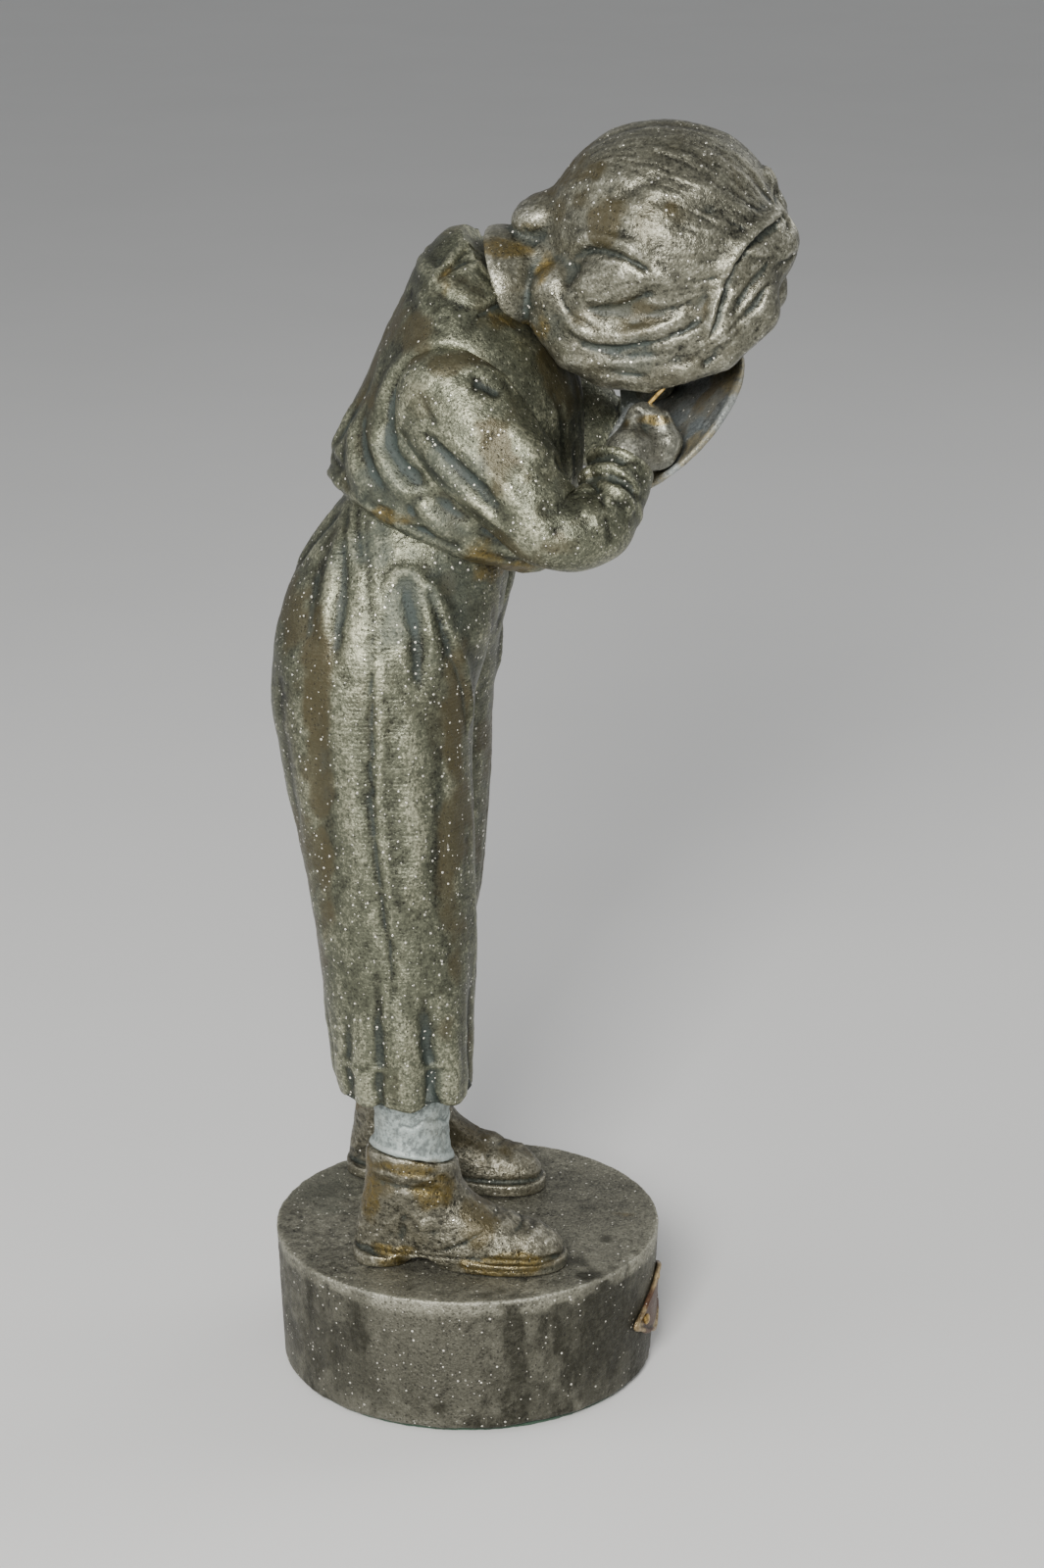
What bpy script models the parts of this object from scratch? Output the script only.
"""Figure trophy: a child in a loose jacket and wide trousers, head bowed over a small round dish.

The figure is hollow-cast in sections that plug into each other, and it stands on a hollow round drum.
A stud runs down each leg through the shoe and the drum's top, and a nut under the top holds it.

The figure faces +X, its left side is +Y, and the origin is the middle of the drum's foot.
Lengths in the tables below are millimetres; Blender works in metres.
"""

import math

import bmesh
import bpy
from mathutils import Matrix, Vector

MM = 0.001

# Driving dimensions.
DRUM_TOP_RADIUS = 60.0
DRUM_FOOT_RADIUS = 58.0
DRUM_HEIGHT = 45.0
DRUM_POINTS = 56
DRUM_WALL = 3.5
DRUM_TOP_PLATE = 4.0
FELT_THICKNESS = 1.2
WALL = 2.5  # usual wall of a hollow casting
GAP = 0.3  # clearance between one casting and the next
STUD_RADIUS = 2.5
STUD_HOLE_RADIUS = STUD_RADIUS + GAP
STUD_FOOT = 31.0
STUD_TOP = 124.0
WASHER_RADIUS = 5.5
WASHER_THICKNESS = 1.0
NUT_RADIUS = 4.62  # to a corner
NUT_THICKNESS = 4.0
ROD_RADIUS = 0.85
ROD_START = Vector((51.2, -14.0, 304.6))
ROD_END = Vector((65.4, -16.4, 321.8))

RIGHT_ANKLE = Vector((-12.3, -29.5))
LEFT_ANKLE = Vector((-26.3, 32.0))
LEFT_STEP = Vector((LEFT_ANKLE.x - RIGHT_ANKLE.x, LEFT_ANKLE.y + RIGHT_ANKLE.y))
RIGHT_TOE_TURN = 0.012  # how far each shoe swings to the figure's left for each unit forward
LEFT_TOE_TURN = -0.135
SHOE_TOP = 79.0
HEM_HEIGHT = 102.0
SOCK_TOP = 117.0
CROTCH_HEIGHT = 222.0

HEAD_CENTRE = Vector((58.0, 0.0, 351.5))
HEAD_BOW = math.radians(70.0)  # how far the head is tipped forward from upright
DISH_CENTRE = Vector((61.5, 8.0, 301.0))
DISH_NORMAL = Vector((-0.65, -0.35, 0.67)).normalized()
DISH_RADIUS = 28.0

METALS = {
    "aged_zinc": ((0.16, 0.15, 0.12), 0.42, 0.85),
    "bare_zinc": ((0.42, 0.45, 0.45), 0.50, 0.55),
    "brown_lacquer": ((0.20, 0.13, 0.04), 0.38, 0.75),
    "drum_zinc": ((0.13, 0.12, 0.09), 0.55, 0.75),
    "brass": ((0.62, 0.43, 0.13), 0.32, 1.0),
    "steel": ((0.45, 0.44, 0.42), 0.40, 1.0),
    "green_felt": ((0.03, 0.07, 0.04), 0.95, 0.0),
}


# ---------------------------------------------------------------- tools


def clear_scene():
    for obj in list(bpy.data.objects):
        bpy.data.objects.remove(obj)


def metal(name):
    """The shared material of that name, made the first time it is asked for."""
    if name in bpy.data.materials:
        return bpy.data.materials[name]
    colour, roughness, metallic = METALS[name]
    material = bpy.data.materials.new(name)
    material.use_nodes = True
    shader = material.node_tree.nodes["Principled BSDF"]
    shader.inputs["Base Color"].default_value = (*colour, 1.0)
    shader.inputs["Roughness"].default_value = roughness
    shader.inputs["Metallic"].default_value = metallic
    return material


def ring(centre, u, v, half_u, half_v, points, power=2.0, squeeze=None):
    """A closed superellipse about centre, in the plane of the unit vectors u and v.

    squeeze, if given, maps each finished point to the place where it goes.
    """
    found = []
    for i in range(points):
        turn = 2 * math.pi * i / points
        c, s = math.cos(turn), math.sin(turn)
        point = (
            centre
            + u * (half_u * math.copysign(abs(c) ** (2 / power), c))
            + v * (half_v * math.copysign(abs(s) ** (2 / power), s))
        )
        found.append(squeeze(point) if squeeze else point)
    return found


def object_of(mesh_maker, name, finish):
    """A new object whose mesh mesh_maker fills, in metres, with its faces pointing out."""
    bm = bmesh.new()
    mesh_maker(bm)
    bmesh.ops.scale(bm, vec=(MM, MM, MM), verts=bm.verts)
    bmesh.ops.recalc_face_normals(bm, faces=bm.faces)
    mesh = bpy.data.meshes.new(name)
    bm.to_mesh(mesh)
    bm.free()
    mesh.shade_smooth()
    mesh.set_sharp_from_angle(angle=math.radians(40))
    obj = bpy.data.objects.new(name, mesh)
    bpy.context.scene.collection.objects.link(obj)
    if finish:
        mesh.materials.append(metal(finish))
    return obj


def stitch(bm, lower, upper):
    """Quads between two rings with the same number of points."""
    for i in range(len(lower)):
        j = (i + 1) % len(lower)
        bm.faces.new((lower[i], lower[j], upper[j], upper[i]))


def loft(name, rings, finish=None):
    """A solid through the rings, closed with a flat face at each end."""

    def fill(bm):
        rows = [[bm.verts.new(p) for p in r] for r in rings]
        for lower, upper in zip(rows, rows[1:]):
            stitch(bm, lower, upper)
        bm.faces.new(rows[0])
        bm.faces.new(rows[-1])

    return object_of(fill, name, finish)


def shell(name, outer, inner, finish=None, top_closed=False):
    """A hollow casting between outer and inner rings.

    It is open at the start, and at the end too unless top_closed.
    """

    def fill(bm):
        skins = [[[bm.verts.new(p) for p in r] for r in rings] for rings in (outer, inner)]
        for rows in skins:
            for lower, upper in zip(rows, rows[1:]):
                stitch(bm, lower, upper)
        stitch(bm, skins[0][0], skins[1][0])
        if top_closed:
            bm.faces.new(skins[0][-1])
            bm.faces.new(skins[1][-1])
        else:
            stitch(bm, skins[0][-1], skins[1][-1])

    return object_of(fill, name, finish)


def hoop(name, rings, finish=None):
    """A solid whose rings run round it and meet again, such as a washer."""

    def fill(bm):
        rows = [[bm.verts.new(p) for p in r] for r in rings]
        for lower, upper in zip(rows, rows[1:] + rows[:1]):
            stitch(bm, lower, upper)

    return object_of(fill, name, finish)


def every_other(rings):
    """Half of the rings, for an inner skin, with the last one kept."""
    return rings[:-1:2] + rings[-1:]


def upright_ring(x, y, z, radius_x, radius_y=None, points=24, power=2.0):
    """A level ring, round unless radius_y is given."""
    forward, left = Vector((1, 0, 0)), Vector((0, 1, 0))
    return ring(Vector((x, y, z)), forward, left, radius_x, radius_y or radius_x, points, power)


def frame_along(direction, side=Vector((0, 1, 0))):
    """Two unit vectors square to direction, the second one nearest to side."""
    axis = direction.normalized()
    v = (side - axis * side.dot(axis)).normalized()
    return v.cross(axis).normalized(), v


def capsule(name, start, end, start_radius, end_radius, points=8, flat=1.0, side=Vector((0, 1, 0))):
    """A finger-like solid: a cone from start to end with a rounded cap at each.

    flat narrows it square to side.
    """
    axis = (end - start).normalized()
    stations = []
    for turn in (-70, -25):
        a = math.radians(turn)
        stations.append((start + axis * (start_radius * math.sin(a)), start_radius * math.cos(a)))
    for turn in (25, 70):
        a = math.radians(turn)
        stations.append((end + axis * (end_radius * math.sin(a)), end_radius * math.cos(a)))
    u, v = frame_along(axis, side)
    return loft(name, [ring(place, u, v, r * flat, r, points) for place, r in stations])


def cylinder(name, start, end, radius, points=20, finish=None):
    u, v = frame_along(end - start)
    return loft(name, [ring(p, u, v, radius, radius, points) for p in (start, end)], finish)


def hide_helper(obj):
    """Marks a cutter, or a shape that another takes in, so that it isn't a piece of its own."""
    obj.hide_render = True
    obj.display_type = "WIRE"


def combine(obj, operation, *others):
    """Adds a Boolean of each of the others to obj, and hides them."""
    for other in others:
        hide_helper(other)
        modifier = obj.modifiers.new(f"{operation.lower()}_{other.name}", "BOOLEAN")
        modifier.operation = operation
        modifier.object = other
        modifier.solver = "EXACT"
    return obj


def cut(obj, *cutters):
    return combine(obj, "DIFFERENCE", *cutters)


def join(obj, *others):
    return combine(obj, "UNION", *others)


# ---------------------------------------------------------------- drum and plate


def drum_radius(z):
    return DRUM_FOOT_RADIUS + (DRUM_TOP_RADIUS - DRUM_FOOT_RADIUS) * z / DRUM_HEIGHT


def make_drum():
    """The hollow drum: open below, with a hole for each stud and each plate pin."""
    rounding = 0.8
    foot = FELT_THICKNESS + GAP
    outer_stations = [
        (foot, drum_radius(0) - rounding),
        (foot + rounding, drum_radius(0)),
        (DRUM_HEIGHT - rounding, drum_radius(DRUM_HEIGHT)),
        (DRUM_HEIGHT, drum_radius(DRUM_HEIGHT) - rounding),
    ]
    foot_width = 5.0
    ceiling = DRUM_HEIGHT - DRUM_TOP_PLATE
    inner_stations = [
        (foot, drum_radius(0) - foot_width),
        (foot + 2.0, drum_radius(0) - foot_width),
        (foot + 5.0, drum_radius(5) - DRUM_WALL),
        (ceiling - 3.0, drum_radius(ceiling) - DRUM_WALL),
        (ceiling, drum_radius(ceiling) - DRUM_WALL - 3.0),
    ]
    outer = [upright_ring(0, 0, z, r, points=DRUM_POINTS) for z, r in outer_stations]
    inner = [upright_ring(0, 0, z, r, points=DRUM_POINTS) for z, r in inner_stations]
    drum = shell("base_drum", outer, inner, "drum_zinc", top_closed=True)
    for side, ankle in (("right", RIGHT_ANKLE), ("left", LEFT_ANKLE)):
        below, above = Vector((*ankle, ceiling - 5)), Vector((*ankle, DRUM_HEIGHT + 5))
        cut(drum, cylinder(f"{side}_stud_hole", below, above, STUD_HOLE_RADIUS, 16))
    return drum


def make_felt():
    """The felt disc that closes the drum's foot, and which the trophy stands on."""
    radius = drum_radius(0) - 1.5
    levels = [(0.0, radius - 0.3), (0.3, radius), (FELT_THICKNESS, radius)]
    rings = [upright_ring(0, 0, z, r, points=DRUM_POINTS) for z, r in levels]
    return loft("base_felt", rings, "green_felt")


PLATE_HALF_ANGLE = math.radians(19.5)
PLATE_HALF_HEIGHT = 9.4
PLATE_MIDDLE = 21.5
PIN_ANGLE = math.radians(15.0)  # of each pin, to either side of the plate's middle
PIN_RADIUS = 0.9
PIN_HEAD_RADIUS = 1.7


def on_drum(angle, z, proud):
    """The point proud of the drum's wall at that angle from the front and that height."""
    radius = drum_radius(z) + proud
    return Vector((radius * math.cos(angle), radius * math.sin(angle), z))


def plate_outline(scale, proud, points=36):
    """A cartouche outline on the drum: an oval with a lobe at each end and a point above and below."""
    found = []
    for i in range(points):
        turn = 2 * math.pi * i / points
        lobe = 1 + 0.10 * math.cos(4 * turn) + 0.04 * math.cos(8 * turn)
        angle = PLATE_HALF_ANGLE * scale * lobe * math.cos(turn)
        z = PLATE_MIDDLE + PLATE_HALF_HEIGHT * scale * lobe * math.sin(turn)
        found.append(on_drum(angle, z, proud))
    return found


def make_plate():
    """The blank name plate, with a raised border, and the two pins that hold it to the drum."""
    back, field, border = GAP, 1.1, 1.9
    steps = [(scale, back) for scale in (0.05, 0.35, 0.65, 0.97)]
    steps += [(1.0, back + 0.4), (1.0, border - 0.4), (0.96, border), (0.89, border)]
    steps += [(scale, field) for scale in (0.85, 0.45, 0.05)]
    plate = loft("name_plate", [plate_outline(scale, proud) for scale, proud in steps], "brown_lacquer")
    drum = bpy.data.objects["base_drum"]
    for name, angle in (("right", -PIN_ANGLE), ("left", PIN_ANGLE)):
        inner = on_drum(angle, PLATE_MIDDLE, -8.0)
        outer = on_drum(angle, PLATE_MIDDLE, 5.0)
        cut(plate, cylinder(f"{name}_plate_pin_hole", inner, outer, PIN_RADIUS + GAP, 16))
        cut(drum, cylinder(f"{name}_drum_pin_hole", inner, outer, PIN_RADIUS + GAP, 16))
        make_pin(f"{name}_plate_pin", angle, field + GAP)


def make_pin(name, angle, seat):
    """A round-headed pin whose shank ends inside the drum."""
    axis = Vector((math.cos(angle), math.sin(angle), 0))
    u, v = frame_along(axis, Vector((0, 0, 1)))
    head = [(seat, PIN_HEAD_RADIUS), (seat + 0.5, PIN_HEAD_RADIUS), (seat + 0.9, 1.2), (seat + 1.05, 0.5)]
    steps = [(-5.0, PIN_RADIUS), (seat, PIN_RADIUS), *head]
    rings = [ring(on_drum(angle, PLATE_MIDDLE, 0) + axis * out, u, v, r, r, 16) for out, r in steps]
    return loft(name, rings, "brass")


def make_fixings(side, ankle):
    """A leg's stud, and its washer and nut under the drum's top."""
    washer_top = DRUM_HEIGHT - DRUM_TOP_PLATE - GAP
    nut_top = washer_top - WASHER_THICKNESS - GAP
    foot, top = Vector((*ankle, STUD_FOOT)), Vector((*ankle, STUD_TOP))
    cylinder(f"{side}_stud", foot, top, STUD_RADIUS, 16, "steel")
    flat_ring(f"{side}_washer", ankle, washer_top, WASHER_THICKNESS, WASHER_RADIUS, 24)
    nut = flat_ring(f"{side}_nut", ankle, nut_top, NUT_THICKNESS, NUT_RADIUS, 6)
    below, above = Vector((*ankle, nut_top - 9)), Vector((*ankle, nut_top + 5))
    cut(nut, cylinder(f"{side}_nut_bore", below, above, STUD_HOLE_RADIUS, 16))


def flat_ring(name, ankle, top, thickness, radius, points):
    """A flat steel ring round a stud."""
    bottom = top - thickness
    corners = [(STUD_HOLE_RADIUS, top), (radius, top), (radius, bottom), (STUD_HOLE_RADIUS, bottom)]
    return hoop(name, [upright_ring(*ankle, z, r, points=points) for r, z in corners], "steel")


# ---------------------------------------------------------------- shoes and socks


def shoe_ring(ankle, toe_turn, z, heel, toe, heel_width, ball_width):
    """One level of a shoe: an egg outline from heel to toe, both measured forward of the ankle."""
    middle, half = (heel + toe) / 2, (toe - heel) / 2
    found = []
    for i in range(24):
        turn = 2 * math.pi * i / 24
        along, across = math.cos(turn), math.sin(turn)
        blend = (along + 1) / 2
        width = heel_width + (ball_width - heel_width) * blend * blend * (3 - 2 * blend)
        x = middle + half * math.copysign(abs(along) ** 0.85, along)
        y = width * math.copysign(abs(across) ** 0.9, across) + toe_turn * x
        found.append(Vector((ankle.x + x, ankle.y + y, z)))
    return found


# height, heel, toe, half width at the heel and at the ball
SHOE_UPPER = [
    (48.0, -17.5, 46.0, 9.8, 12.0),
    (51.0, -17.8, 46.4, 10.0, 12.2),
    (54.0, -17.6, 45.0, 10.0, 11.7),
    (56.5, -17.2, 41.0, 10.0, 11.0),
    (58.5, -16.8, 35.0, 10.0, 10.4),
    (61.0, -16.4, 28.0, 10.0, 10.0),
    (64.0, -16.2, 22.6, 10.0, 9.8),
    (68.0, -15.6, 18.2, 10.2, 10.0),
    (72.0, -15.0, 15.8, 10.8, 10.8),
    (76.0, -14.4, 14.8, 11.6, 11.6),
    (SHOE_TOP, -14.0, 14.2, 12.2, 12.2),
]
SOCKET_RADIUS = 8.0 + GAP  # of the hole in a shoe's top that the ankle piece stands in
SOCKET_FLOOR = 64.0


def make_shoe(side, ankle, toe_turn):
    """An ankle boot: upper, sole and heel in one casting.

    It has a socket in its top, and the stud's hole below that.
    """

    def level(*sizes):
        return shoe_ring(ankle, toe_turn, *sizes)

    floor = DRUM_HEIGHT + GAP
    sole = [
        level(floor, 8.0, 46.4, 11.0, 12.6),
        level(floor + 0.4, 7.5, 46.8, 11.4, 13.0),
        level(floor + 1.0, 7.0, 47.6, 11.4, 13.0),
        level(48.6, 4.0, 47.6, 11.4, 13.0),
        level(49.2, 4.5, 46.8, 11.4, 13.0),
    ]
    waist = [level(z, -16.0, 30.0, 9.0, 10.0) for z in (46.9, 49.5)]
    heel_block = [level(z, -18.4, toe, 10.8, 10.2) for z, toe in ((floor, 0.0), (49.2, 1.5))]
    shoe = loft(f"{side}_shoe", [level(*sizes) for sizes in SHOE_UPPER], "brown_lacquer")
    join(
        shoe,
        loft(f"{side}_sole", sole),
        loft(f"{side}_shoe_waist", waist),
        loft(f"{side}_heel", heel_block),
    )
    socket_floor, mouth = Vector((*ankle, SOCKET_FLOOR)), Vector((*ankle, SHOE_TOP + 5))
    below, above = Vector((*ankle, DRUM_HEIGHT - 5)), Vector((*ankle, SOCKET_FLOOR + 6))
    cut(
        shoe,
        cylinder(f"{side}_shoe_socket", socket_floor, mouth, SOCKET_RADIUS, 24),
        cylinder(f"{side}_shoe_hole", below, above, STUD_HOLE_RADIUS, 16),
    )
    return shoe


def make_sock(side, ankle):
    """The bare ankle piece: a spigot in the shoe below, and a flange inside the trouser leg above."""
    spigot = SOCKET_RADIUS - GAP
    foot = SOCKET_FLOOR + 1.0
    flange = HEM_HEIGHT + 2.0
    levels = [
        (foot, spigot - 0.4, spigot - 0.4),
        (foot + 0.6, spigot, spigot),
        (SHOE_TOP + GAP, spigot, spigot),
        (SHOE_TOP + GAP, 12.0, 11.6),
        (SHOE_TOP + 2.0, 12.7, 12.2),
        (SHOE_TOP + 6.0, 11.6, 11.2),
        (flange - 0.5, 11.3, 11.0),
        (flange, 14.8, 14.4),
        (flange + 3.0, 14.8, 14.4),
        (flange + 3.5, 9.0, 9.0),
        (SOCK_TOP, 8.0, 8.0),
    ]
    outer = [upright_ring(*ankle, z, a, b, 18) for z, a, b in levels]
    inner = [upright_ring(*ankle, z, STUD_HOLE_RADIUS, points=18) for z in (foot, SOCK_TOP)]
    return shell(f"{side}_sock", outer, inner, "bare_zinc")


# ---------------------------------------------------------------- trousers

# height, back, front, outer side and inner side of the right leg; the inner side stops at the middle
TROUSER_LEVELS = [
    (HEM_HEIGHT, -34.8, 6.4, -48.4, -10.4),
    (107.0, -36.2, 6.7, -49.0, -9.9),
    (116.0, -37.0, 6.8, -49.0, -9.5),
    (128.0, -38.2, 6.9, -48.8, -9.0),
    (147.0, -40.2, 7.0, -48.2, -8.0),
    (163.0, -42.4, 6.6, -47.6, -6.5),
    (178.0, -45.4, 6.2, -47.2, -5.0),
    (194.0, -48.4, 5.8, -46.8, -3.6),
    (209.0, -51.0, 5.6, -46.6, -2.0),
    (CROTCH_HEIGHT, -53.0, 6.2, -46.2, 1.0),
    (236.0, -53.6, 9.4, -45.0, 8.0),
    (248.0, -51.6, 13.0, -42.6, 14.0),
    (257.0, -48.4, 13.8, -40.2, 18.0),
    (266.0, -43.6, 13.6, -37.0, 21.0),
    (278.0, -35.4, 12.0, -32.0, 24.0),
    (291.0, -27.0, 10.0, -27.5, 24.0),
]


def left_step(z):
    """How far the left leg stands off a mirror image of the right one at that height."""
    share = max(0.0, min(1.0, (CROTCH_HEIGHT - z) / (CROTCH_HEIGHT - HEM_HEIGHT)))
    return LEFT_STEP * share**1.35


def trouser_rings(sign, inset, middle_gap):
    """Rings of one leg; sign is -1 for the right.

    inset shrinks them for the hollow or, if it is negative, grows them for a cutter.
    """

    def stop_at_middle(point):
        if sign < 0:
            point.y = min(point.y, -middle_gap)
        else:
            point.y = max(point.y, middle_gap)
        return point

    forward, left = Vector((1, 0, 0)), Vector((0, 1, 0))
    rings = []
    for z, back, front, outside, inside in TROUSER_LEVELS:
        shift = left_step(z) if sign > 0 else Vector((0.0, 0.0))
        centre = Vector(((back + front) / 2 + shift.x, -sign * (outside + inside) / 2 + shift.y, z))
        half_x = (front - back) / 2 - inset
        half_y = (inside - outside) / 2 - inset
        rings.append(ring(centre, forward, left, half_x, half_y, 24, 2.15, stop_at_middle))
    return rings


def make_trouser_leg(side, sign):
    """Half of the trousers, hollow and open at hem and waist; the halves meet at the middle."""
    outer = trouser_rings(sign, 0.0, GAP / 2)
    inner = trouser_rings(sign, WALL, GAP / 2 + WALL)
    return shell(f"{side}_trouser_leg", outer, every_other(inner), "aged_zinc")


# ---------------------------------------------------------------- jacket

# back (x, z), front (x, z), half width and roundness of the jacket's rings, from hem to collar
JACKET_RINGS = [
    ((-35.6, 284.5), (24.0, 259.0), 33.5, 2.2),
    ((-38.0, 287.5), (28.5, 261.0), 37.0, 2.3),
    ((-37.6, 293.5), (32.0, 270.0), 38.8, 2.35),
    ((-34.4, 301.0), (34.0, 283.0), 39.4, 2.4),
    ((-29.8, 310.0), (35.0, 296.0), 39.6, 2.4),
    ((-25.2, 320.0), (34.6, 306.5), 39.4, 2.4),
    ((-20.6, 330.5), (33.0, 314.0), 38.4, 2.3),
    ((-16.0, 341.0), (30.6, 320.5), 35.6, 2.2),
    ((-12.0, 348.5), (28.2, 325.5), 30.0, 2.1),
    ((-8.2, 353.6), (25.2, 328.4), 23.4, 2.0),
    ((-3.6, 357.2), (22.4, 330.4), 18.0, 2.0),
    ((0.6, 358.4), (20.4, 332.0), 15.8, 2.0),
]


def jacket_rings(inset, hem_inset):
    """The jacket's rings, each inset all round; the one at the hem has an inset of its own."""
    left = Vector((0, 1, 0))
    rings = []
    for i, (back, front, half_width, power) in enumerate(JACKET_RINGS):
        start = Vector((back[0], 0, back[1]))
        end = Vector((front[0], 0, front[1]))
        less = inset if i else hem_inset
        forward = (end - start).normalized()
        half_length = (end - start).length / 2 - less
        rings.append(ring((start + end) / 2, forward, left, half_length, half_width - less, 28, power))
    return rings


def make_jacket():
    """The torso casting: its hem closes round the trousers, and its collar takes the neck."""
    jacket = shell("jacket", jacket_rings(0.0, 0.0), every_other(jacket_rings(WALL, 7.5)), "aged_zinc")
    for name, sign in (("right", -1), ("left", 1)):
        cut(jacket, loft(f"{name}_waist_room", trouser_rings(sign, -GAP, -1.0)[8:]))
    return jacket


# ---------------------------------------------------------------- arms

# shoulder, point of the elbow, and wrist
RIGHT_ARM = (Vector((3.0, -34.0, 312.5)), Vector((40.5, -47.5, 268.5)), Vector((50.0, -26.0, 295.0)))
LEFT_ARM = (Vector((3.0, 34.0, 312.5)), Vector((43.0, 52.5, 281.0)), Vector((54.0, 43.0, 299.0)))


def arm_path(joints, bend_radius=11.6):
    """Places down the middle of a sleeve, from the shoulder to the cuff, with an arc at the elbow."""
    shoulder, elbow, wrist = joints
    down = (elbow - shoulder).normalized()
    fore = (wrist - elbow).normalized()
    bend = down.angle(fore)
    reach = bend_radius * math.tan(bend / 2)
    start = elbow - down * reach
    inward = (fore - down * fore.dot(down)).normalized()
    pivot = start + inward * bend_radius
    places = [shoulder + (start - shoulder) * share for share in (-0.46, -0.36, -0.2, 0.1, 0.55)]
    for i in range(5):
        turn = bend * i / 4
        out = down * math.sin(turn) - inward * math.cos(turn)
        places.append(pivot + out * bend_radius)
    return places + [wrist]


# half depth and half width of the sleeve at each place of its path
SLEEVE_HALVES = [(4.0, 4.0), (10.5, 9.5), (15.0, 13.0), (17.0, 14.6), (16.2, 14.0)]
SLEEVE_HALVES += [(12.6, 13.4), (11.2, 12.8), (11.0, 12.4), (10.8, 11.8), (10.2, 10.8), (9.6, 9.6)]


def sleeve_rings(joints, inset):
    places = arm_path(joints)
    rings = []
    for i, (place, (half_u, half_v)) in enumerate(zip(places, SLEEVE_HALVES)):
        before = places[max(i - 1, 0)]
        after = places[min(i + 1, len(places) - 1)]
        u, v = frame_along(after - before)
        rings.append(ring(place, u, v, half_u - inset, half_v - inset, 20))
    return rings


def make_sleeve(side, joints):
    """An arm casting, hollow and open at the cuff; its shoulder sits against the jacket's side."""
    outer = sleeve_rings(joints, 0.0)
    inner = sleeve_rings(joints, WALL)
    sleeve = shell(f"{side}_sleeve", outer[::-1], inner[::-1], "aged_zinc", top_closed=True)
    return cut(sleeve, bpy.data.objects["jacket_room"])


# knuckle, middle joint and tip of each finger of the right hand, from the index
RIGHT_FINGERS = [
    (Vector((62.4, -18.6, 300.6)), Vector((59.6, -17.0, 306.4)), Vector((55.0, -15.6, 308.4))),
    (Vector((62.0, -14.8, 298.4)), Vector((59.0, -12.6, 304.2)), Vector((54.2, -11.4, 303.8))),
    (Vector((60.4, -11.4, 295.6)), Vector((57.8, -8.6, 301.0)), Vector((53.0, -8.6, 299.8))),
    (Vector((58.2, -9.0, 292.8)), Vector((56.0, -6.0, 297.6)), Vector((51.8, -7.2, 296.2))),
]
RIGHT_THUMB = (Vector((53.0, -21.0, 297.0)), Vector((51.6, -20.0, 302.6)), Vector((52.6, -17.2, 307.6)))
RIGHT_PALM = Vector((58.8, -14.8, 297.4))
SPIGOT_RADIUS = 5.6  # of the peg on each hand that plugs into its cuff


def make_right_hand():
    """The right hand, closed round the rod, with a round spigot inside the cuff."""
    wrist = RIGHT_ARM[2]
    fore = (wrist - RIGHT_ARM[1]).normalized()
    back_of_hand = Vector((0.5, 0.6, -0.6))
    hand = capsule("right_hand", wrist + fore * 4.5, RIGHT_PALM, 6.8, 7.6, 14, 0.74, back_of_hand)
    hand.data.materials.append(metal("aged_zinc"))
    for i, (knuckle, middle, tip) in enumerate(RIGHT_FINGERS):
        radius = 3.1 - 0.18 * i
        join(
            hand,
            capsule(f"right_finger_{i}_root", knuckle, middle, radius + 0.2, radius),
            capsule(f"right_finger_{i}_tip", middle, tip, radius, radius - 0.5),
        )
    thumb_root, thumb_bend, thumb_tip = RIGHT_THUMB
    join(
        hand,
        capsule("right_thumb_root", thumb_root, thumb_bend, 4.2, 3.4),
        capsule("right_thumb_tip", thumb_bend, thumb_tip, 3.3, 2.6),
        cylinder("right_spigot", wrist - fore * 8.0, wrist + fore * 5.0, SPIGOT_RADIUS, 16),
    )
    grip = cylinder("right_grip", ROD_START * 2 - ROD_END, ROD_END, ROD_RADIUS + GAP, 12)
    return cut(hand, grip, bpy.data.objects["dish_room"])


def make_rod():
    return cylinder("brass_rod", ROD_START, ROD_END, ROD_RADIUS, 14, "brass")


def make_left_hand():
    """The left hand under the dish, fingers spread along its back and the thumb over its rim."""
    elbow, wrist = LEFT_ARM[1:]
    fore = (wrist - elbow).normalized()
    across, up = dish_axes()
    palm = DISH_CENTRE - DISH_NORMAL * 6.6 + across * 14.0 - up * 6.0
    hand = capsule("left_hand", wrist + fore * 4.5, palm, 6.6, 7.4, 14, 0.7, Vector((0.2, 0.2, 1.0)))
    hand.data.materials.append(metal("aged_zinc"))
    for i in range(4):
        root = palm + up * (4.5 - 3.6 * i) - across * 3.0
        middle = palm + up * (5.5 - 4.2 * i) - across * 10.5 + DISH_NORMAL * 0.8
        tip = palm + up * (6.0 - 4.4 * i) - across * (17.5 - 1.2 * abs(i - 1)) + DISH_NORMAL * 2.0
        radius = 3.0 - 0.15 * i
        join(
            hand,
            capsule(f"left_finger_{i}_root", root, middle, radius + 0.3, radius),
            capsule(f"left_finger_{i}_tip", middle, tip, radius, radius - 0.4),
        )
    thumb_root = DISH_CENTRE + across * 33.0 - DISH_NORMAL * 2.0 - up * 5.0
    thumb_bend = DISH_CENTRE + across * 32.6 + DISH_NORMAL * 4.2 - up * 2.0
    thumb_tip = DISH_CENTRE + across * 25.0 + DISH_NORMAL * 4.9 - up * 0.5
    join(
        hand,
        capsule("left_thumb_palm", palm + across * 6.0, thumb_root, 5.4, 3.9),
        capsule("left_thumb_root", thumb_root, thumb_bend, 3.8, 3.2),
        capsule("left_thumb_tip", thumb_bend, thumb_tip, 3.1, 2.5),
        cylinder("left_spigot", wrist - fore * 8.0, wrist + fore * 5.0, SPIGOT_RADIUS, 16),
    )
    return cut(hand, bpy.data.objects["dish_room"])


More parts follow.
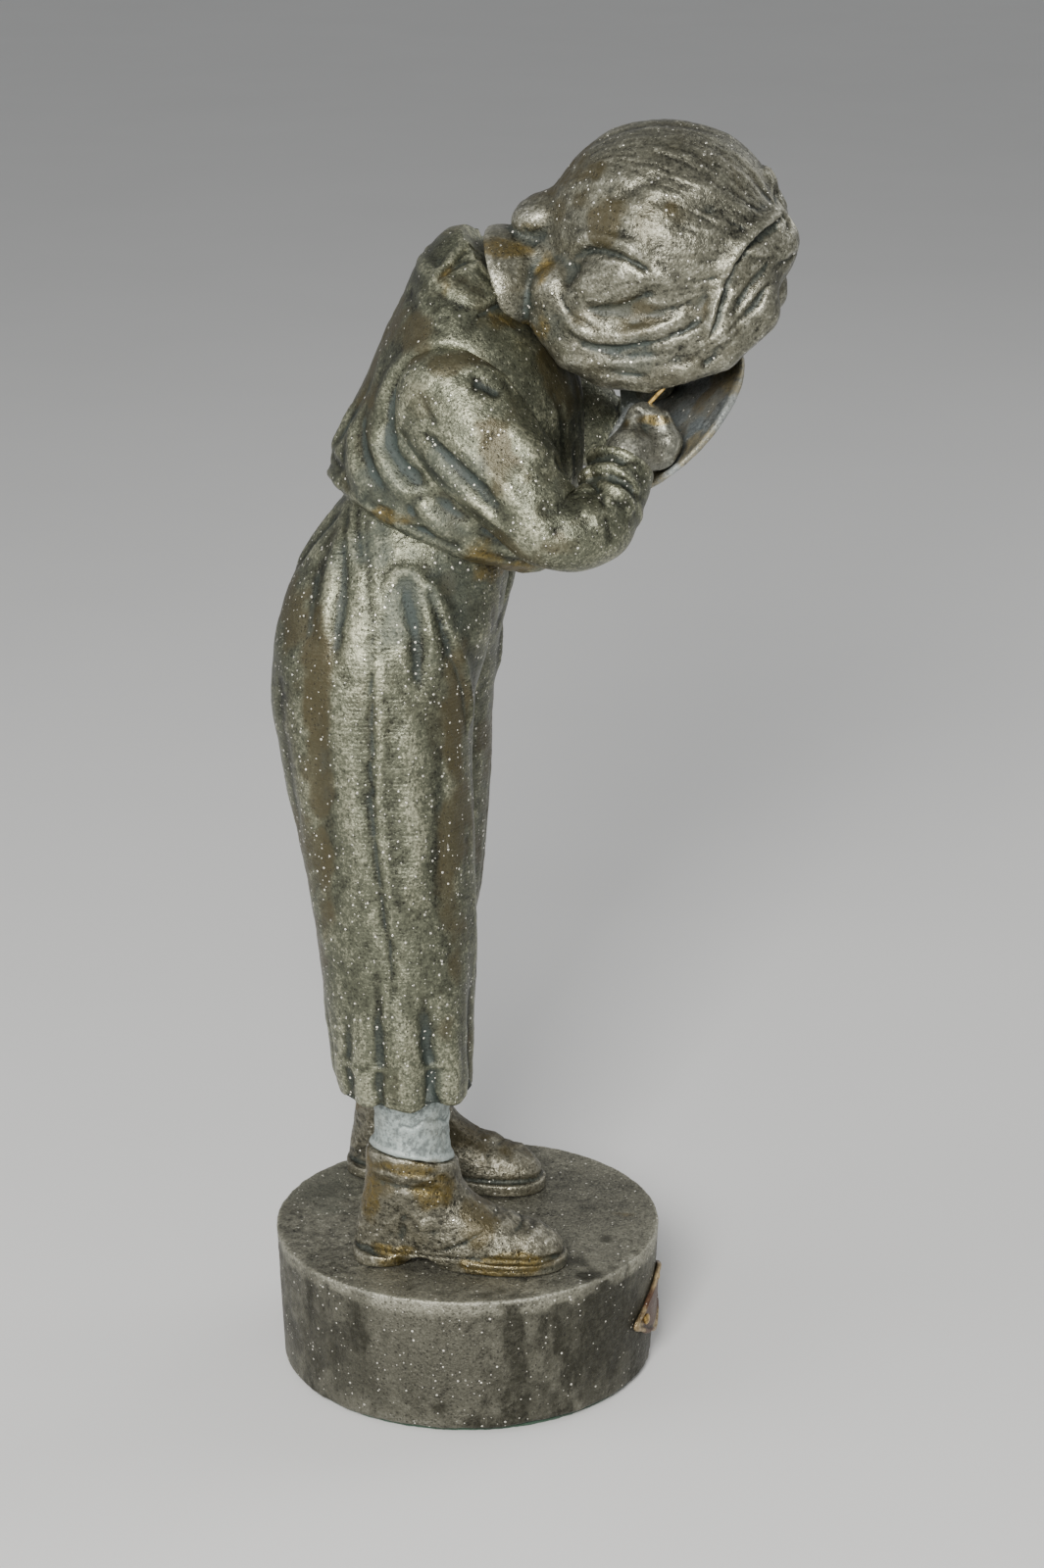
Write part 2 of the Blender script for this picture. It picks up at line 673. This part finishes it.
# ---------------------------------------------------------------- dish


def dish_axes():
    """Unit vectors in the dish's plane: across to the figure's left, and up."""
    left = Vector((0, 1, 0))
    across = (left - DISH_NORMAL * left.dot(DISH_NORMAL)).normalized()
    return across, DISH_NORMAL.cross(across).normalized()


def dish_solid(name, grow, finish=None):
    """A shallow round dish with a beaded rim, grown by grow."""
    across, up = dish_axes()
    thick, rise, bead = 0.8, 1.6, 1.3
    profile = [
        (16.0, -thick - grow),
        (24.5, -thick - grow + 0.4),
        (DISH_RADIUS - 0.6 + grow, rise - bead - grow),
        (DISH_RADIUS + grow, rise),
        (DISH_RADIUS - 0.6 + grow, rise + bead * 0.7 + grow),
        (DISH_RADIUS - 1.8 - grow, rise + bead * 0.7 + grow),
        (DISH_RADIUS - 2.7 - grow, rise - 0.4 + grow),
        (24.0, thick + 0.2 + grow),
        (16.0, thick + grow),
    ]
    rings = [ring(DISH_CENTRE + DISH_NORMAL * out, across, up, r, r, 36) for r, out in profile]
    return loft(name, rings, finish)


# ---------------------------------------------------------------- head


def head_axes():
    """Unit vectors of the bowed head: out of the face, to its left, and out of the crown."""
    tip = Matrix.Rotation(HEAD_BOW, 3, "Y")
    return tip @ Vector((1, 0, 0)), Vector((0, 1, 0)), tip @ Vector((0, 0, 1))


# Swellings on the skull: way out (face, left, crown), how far, and how wide as an angle in degrees
HEAD_SWELLINGS = [
    ((0.80, 0.0, -0.62), 4.0, 17),  # chin
    ((0.97, 0.0, -0.20), 5.2, 9),  # nose
    ((0.95, 0.0, 0.28), 1.6, 24),  # brow
    ((0.72, 0.52, -0.34), 2.6, 24),  # left cheek
    ((0.72, -0.52, -0.34), 2.6, 24),  # right cheek
    ((-0.10, 0.96, -0.26), 3.6, 15),  # left ear under the hair
    ((-0.10, -0.96, -0.26), 3.6, 15),  # right ear under the hair
    ((-0.56, 0.0, -0.83), 8.5, 14),  # tuft at the nape
    ((0.30, -0.22, 0.93), 5.5, 22),  # forelock
    ((0.62, 0.20, 0.74), 3.0, 26),  # fringe
    ((-0.52, -0.10, 0.80), 2.0, 30),  # crown
]


def head_point(way, inset):
    """The head's surface in that direction of its own axes, or a smoother one inset from it."""
    face, left, crown = way
    radius_face = 33.0 if face > 0 else 37.5
    radius_crown = 35.5 if crown > 0 else 33.0
    radius_left = 31.0 - 4.0 * max(0.0, -crown) - 2.5 * max(0.0, face)
    size = 1 / Vector((face / radius_face, left / radius_left, crown / radius_crown)).length
    if not inset:
        for middle, out, spread in HEAD_SWELLINGS:
            away = math.degrees(Vector(middle).normalized().angle(Vector(way)))
            size += out * math.exp(-((away / spread) ** 2))
    face_axis, left_axis, crown_axis = head_axes()
    return HEAD_CENTRE + (face_axis * face + left_axis * left + crown_axis * crown) * (size - inset)


def head_solid(name, steps, points, inset, finish=None):
    """The head as rings from chin to crown."""
    turns = [2 * math.pi * j / points for j in range(points)]
    rings = []
    for i in range(1, steps):
        tilt = math.pi * i / steps
        out = math.sin(tilt)
        ways = [(out * math.cos(turn), out * math.sin(turn), -math.cos(tilt)) for turn in turns]
        rings.append([head_point(way, inset) for way in ways])
    return loft(name, rings, finish)


NECK_FOOT = Vector((10.5, 0, 345.2))  # the middle of the neck where it leaves the collar
NECK_WAY = Vector((0.80, 0, 0.60))  # and the way that it heads there
NECK_PEG = 8.0  # how far the neck reaches down inside the collar


def neck_solid(name, inset, past_foot):
    """The neck, from past_foot below its peg's end up into the head, inset all round."""
    face, _, crown = head_axes()
    places = [
        (NECK_FOOT - NECK_WAY * (NECK_PEG + past_foot), NECK_WAY, 12.2),
        (NECK_FOOT, NECK_WAY, 12.7),
        (NECK_FOOT + NECK_WAY * 6.0, Vector((0.88, 0, 0.48)), 14.5),
        (NECK_FOOT + NECK_WAY * 14.0, Vector((0.95, 0, 0.30)), 15.2),
        (HEAD_CENTRE - crown * 14.0 - face * 6.0, Vector((0.96, 0, 0.28)), 15.5),
    ]
    return loft(name, [ring(p, *frame_along(way), r - inset, r - inset, 20) for p, way, r in places])


def make_head():
    """The head and neck in one hollow casting; the neck is a peg in the collar, open at its end."""
    head = head_solid("head", 20, 26, 0.0, "aged_zinc")
    join(head, capsule("throat", Vector((22.0, 0, 341.0)), Vector((38.0, 0, 337.0)), 12.5, 10.5, 16))
    cut(head, bpy.data.objects["jacket_room"])
    join(head, neck_solid("neck", 0.0, 0.0))
    hollow = head_solid("head_hollow", 10, 16, 4.5)
    return cut(head, join(hollow, neck_solid("neck_bore", 4.0, 5.0)))


# ---------------------------------------------------------------- assembly


def main():
    clear_scene()
    make_felt()
    make_drum()
    make_plate()
    legs = (("right", -1, RIGHT_ANKLE, RIGHT_TOE_TURN), ("left", 1, LEFT_ANKLE, LEFT_TOE_TURN))
    for side, sign, ankle, toe_turn in legs:
        make_fixings(side, ankle)
        make_shoe(side, ankle, toe_turn)
        make_sock(side, ankle)
        make_trouser_leg(side, sign)
    make_jacket()
    hide_helper(loft("jacket_room", jacket_rings(-GAP, -GAP)))
    make_head()
    make_sleeve("right", RIGHT_ARM)
    make_sleeve("left", LEFT_ARM)
    dish_solid("dish", 0.0, "aged_zinc")
    hide_helper(dish_solid("dish_room", GAP))
    make_rod()
    make_right_hand()
    make_left_hand()


main()
